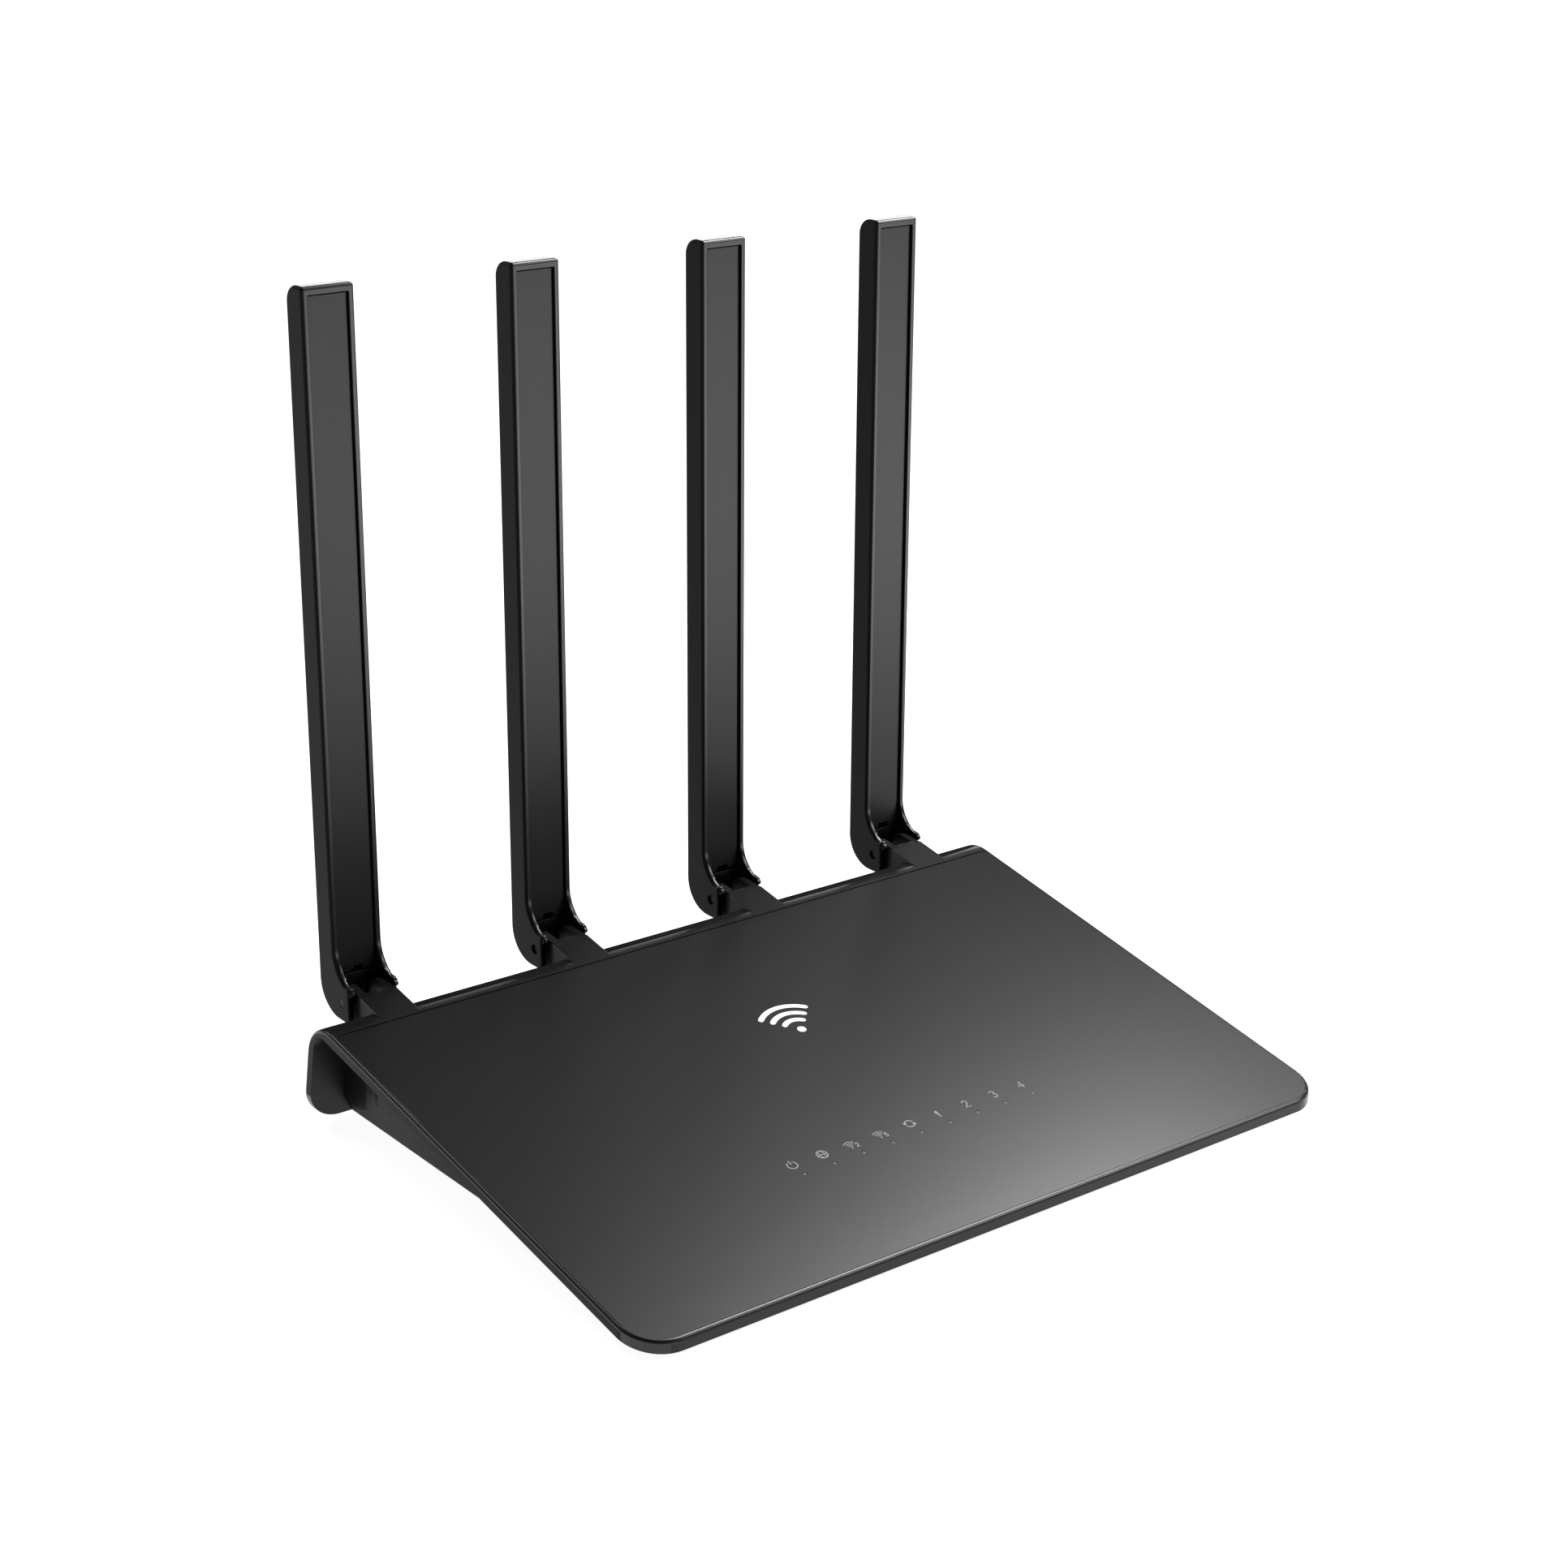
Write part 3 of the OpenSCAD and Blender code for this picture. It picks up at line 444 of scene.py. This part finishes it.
ICONS = [("power", d_power), ("internet", d_globe), ("wifi_2", d_wifi2), ("wifi_5", d_wifi5), ("pairing", d_sync),
         ("lan_1", lambda b: digit(b, "1")), ("lan_2", lambda b: digit(b, "2")), ("lan_3", lambda b: digit(b, "3")), ("lan_4", lambda b: digit(b, "4"))]
for k, (nm, fn) in enumerate(ICONS):
    print_piece("icon_" + nm, fn, -0.6 + (k - 4) * 8.7, -40.4, M_INK)
def d_mark(bm):
    disc(bm, 0, -4.6, 1.15, n=40)
    for r in (4.2, 7.2, 10.2): stroke(bm, arc(0, -4.6, r, 48, 132, 40), 1.45)
print_piece("cover_symbol", d_mark, 0.8, 6.6, M_WHITE, scale=1.0)

# ------------------------------------------------------------------ the other CAD nodes: materials and edge rounding
def dress(node, mat, bevel=0.0, angle=38, sharp=35):
    o = NODES[node]
    o.data.materials.clear(); o.data.materials.append(mat)
    w = o.modifiers.new("weld", "WELD"); w.merge_threshold = 2e-6
    smooth_mods(o, bevel, 2, angle)
for node, mat, bev in [
    ("light_guide", M_GUIDE, 0.05), ("indicator_leds", M_LED, 0.06), ("main_board", M_BOARD, 0.1), ("processor", M_CHIP, 0.12),
    ("memory_chip", M_CHIP, 0.1), ("thermal_pad", M_PAD, 0.05), ("heatsink", M_ALU, 0.12), ("shield_can_2g", M_CAN, 0.12),
    ("shield_can_5g", M_CAN, 0.12), ("lan_transformers", M_CHIP, 0.25), ("power_inductor", M_CHIP, 0.4), ("capacitors", M_CAP, 0.4),
    ("lan_port_block", M_LAN, 0.15), ("lan_port_contacts", M_GOLD, 0.04), ("wan_port", M_WAN, 0.15), ("wan_port_contacts", M_GOLD, 0.04),
    ("dc_jack", M_JACK, 0.15), ("dc_jack_pin", M_CHROME, 0.2), ("wps_switch", M_JACK, 0.15), ("wps_button", M_BUTTON, 0.3),
    ("coax_connectors", M_GOLD, 0.15), ("rubber_feet", M_RUBBER, 0.3), ("case_screws", M_SCREW, 0.12), ("board_screws", M_SCREW, 0.12),
    ("rating_label", M_LABEL, 0.03)]:
    dress(node, mat, bev)
for i in range(1, 5):
    dress(f"antenna_{i}_lower_coax", M_COAX); dress(f"antenna_{i}_upper_coax", M_COAX)
    dress(f"antenna_{i}_radiator", M_RAD, 0.05); dress(f"antenna_{i}_hinge_pins", M_PIN, 0.15)

# ------------------------------------------------------------------ floor, light, camera
me = D.meshes.new("floor"); S = 9.0
me.from_pydata([(-S, -S, 0), (S, -S, 0), (S, S, 0), (-S, S, 0)], [], [(0, 1, 2, 3)])
floor = link(D.objects.new("floor", me))
s = Mat("floor_paper")
n = s.noise(60.0, 2.0)
def vdot(v):
    x = s.n("ShaderNodeVectorMath", operation="DOT_PRODUCT"); s.l(s.tc.outputs["Object"], x.inputs[0]); x.inputs[1].default_value = v
    return x.outputs["Value"]
def soft(f, a, b, c, d):
    r = s.n("ShaderNodeMapRange", interpolation_type="SMOOTHSTEP")
    for k, v in zip(("From Min", "From Max", "To Min", "To Max"), (a, b, c, d)): r.inputs[k].default_value = v
    s.l(f, r.inputs["Value"])
    return r.outputs[0]
def math2(op, a, b):
    x = s.n("ShaderNodeMath", operation=op)
    for k, v in enumerate((a, b)):
        if isinstance(v, (int, float)): x.inputs[k].default_value = v
        else: s.l(v, x.inputs[k])
    return x.outputs[0]
# The floor glows, which is painted light. The glow is a little weaker near the object and stronger far away, and a
# painted pool of light lies in front to the right, where the front faces reflect it.
ln = s.n("ShaderNodeVectorMath", operation="LENGTH"); s.l(s.tc.outputs["Object"], ln.inputs[0])
base = soft(ln.outputs["Value"], 0.35, 1.2, 0.94, 1.09)
along = vdot((0.57, -0.82, 0)); across = math2("ABSOLUTE", math2("SUBTRACT", vdot((0.82, 0.57, 0)), 0.04), 0)
painted_light_pool = math2("MULTIPLY", math2("MULTIPLY", soft(along, 0.06, 0.42, 0, 3.4), soft(across, 0.22, 0.45, 1, 0)), soft(along, 1.4, 2.2, 1, 0))
s.set(Base_Color=s.mixc(s.remap(n, 0.3, 0.7, 0, 1), (0.42, 0.42, 0.42), (0.43, 0.43, 0.43)), Roughness=0.9, Specular_IOR_Level=0.1,
      Emission_Color=(1, 1, 1), Emission_Strength=math2("ADD", base, painted_light_pool))
s.m.cycles.emission_sampling = "NONE"
me.materials.append(s.m)

def area(name, pos, at, size, power, size_y=None, spread=180):
    l = D.lights.new(name, "AREA"); l.energy = power; l.shape = "RECTANGLE"; l.size = size; l.size_y = size_y or size
    l.spread = math.radians(spread)
    o = link(D.objects.new(name, l)); o.location = pos
    o.rotation_mode = "QUATERNION"; o.rotation_quaternion = (Vector(at) - Vector(pos)).to_track_quat("-Z", "Y")
    return o
def polar(az, el, d): return (d * math.sin(math.radians(az)) * math.cos(math.radians(el)), d * math.cos(math.radians(az)) * math.cos(math.radians(el)), d * math.sin(math.radians(el)))
def watts(radiance, w, h): return math.pi * radiance * w * h
area("key", polar(81.4, 57.4, 0.8), (0, 0, 0), 0.313, watts(23.4, 0.313, 0.356), 0.356)
area("back_rim", (0.75, 1.15, 0.44), (0, 0.07, 0.19), 0.66, watts(4.6, 0.66, 0.17), 0.17)
area("back_left", (-0.42, 0.95, 0.74), (0, 0, 0.05), 0.40, watts(3.6, 0.40, 0.30), 0.30)
area("front_right", polar(128, 38, 1.0), (0, 0.06, 0.05), 0.40, watts(8.0, 0.40, 0.40), 0.40)
area("top_left", polar(-24, 58, 0.9), (-0.05, 0, 0), 0.45, watts(3.2, 0.45, 0.24), 0.24)

wd = D.worlds.new("studio"); bpy.context.scene.world = wd; wd.use_nodes = True
wt = wd.node_tree; bg = wt.nodes["Background"]
tc = wt.nodes.new("ShaderNodeTexCoord"); sep = wt.nodes.new("ShaderNodeSeparateXYZ")
wt.links.new(tc.outputs["Generated"], sep.inputs[0])
def band(a, b, c, d):
    mr = wt.nodes.new("ShaderNodeMapRange"); wt.links.new(sep.outputs["Z"], mr.inputs["Value"])
    for k, v in zip(("From Min", "From Max", "To Min", "To Max"), (a, b, c, d)): mr.inputs[k].default_value = v
    return mr.outputs[0]
ad = wt.nodes.new("ShaderNodeMath"); ad.operation = "ADD"
wt.links.new(band(0.02, 0.30, 0.42, 0.05), ad.inputs[0]); wt.links.new(band(0.07, 0.13, 0.66, 0.0), ad.inputs[1])
wt.links.new(ad.outputs[0], bg.inputs["Strength"]); bg.inputs[0].default_value = (0.99, 0.99, 1.0, 1)

cam_d = D.cameras.new("camera"); cam = link(D.objects.new("camera", cam_d))
cam_d.sensor_width = 36.0; cam_d.lens = 3585.97 / 1932 * 36.0
cam_d.clip_start = 0.01; cam_d.clip_end = 60
yaw, pitch, roll = math.radians(38.071), math.radians(19.682), math.radians(0.459)
F = Vector((math.sin(yaw) * math.cos(pitch), math.cos(yaw) * math.cos(pitch), -math.sin(pitch)))
R = Vector((math.cos(yaw), -math.sin(yaw), 0)); U = R.cross(F)
R2 = math.cos(roll) * R + math.sin(roll) * U; U2 = -math.sin(roll) * R + math.cos(roll) * U
rot = Matrix((R2, U2, -F)).transposed()
cam.matrix_world = Matrix.Translation((-0.402071, -0.504447, 0.314366)) @ rot.to_4x4()
bpy.context.scene.camera = cam
bpy.context.scene.view_settings.view_transform = "Standard"
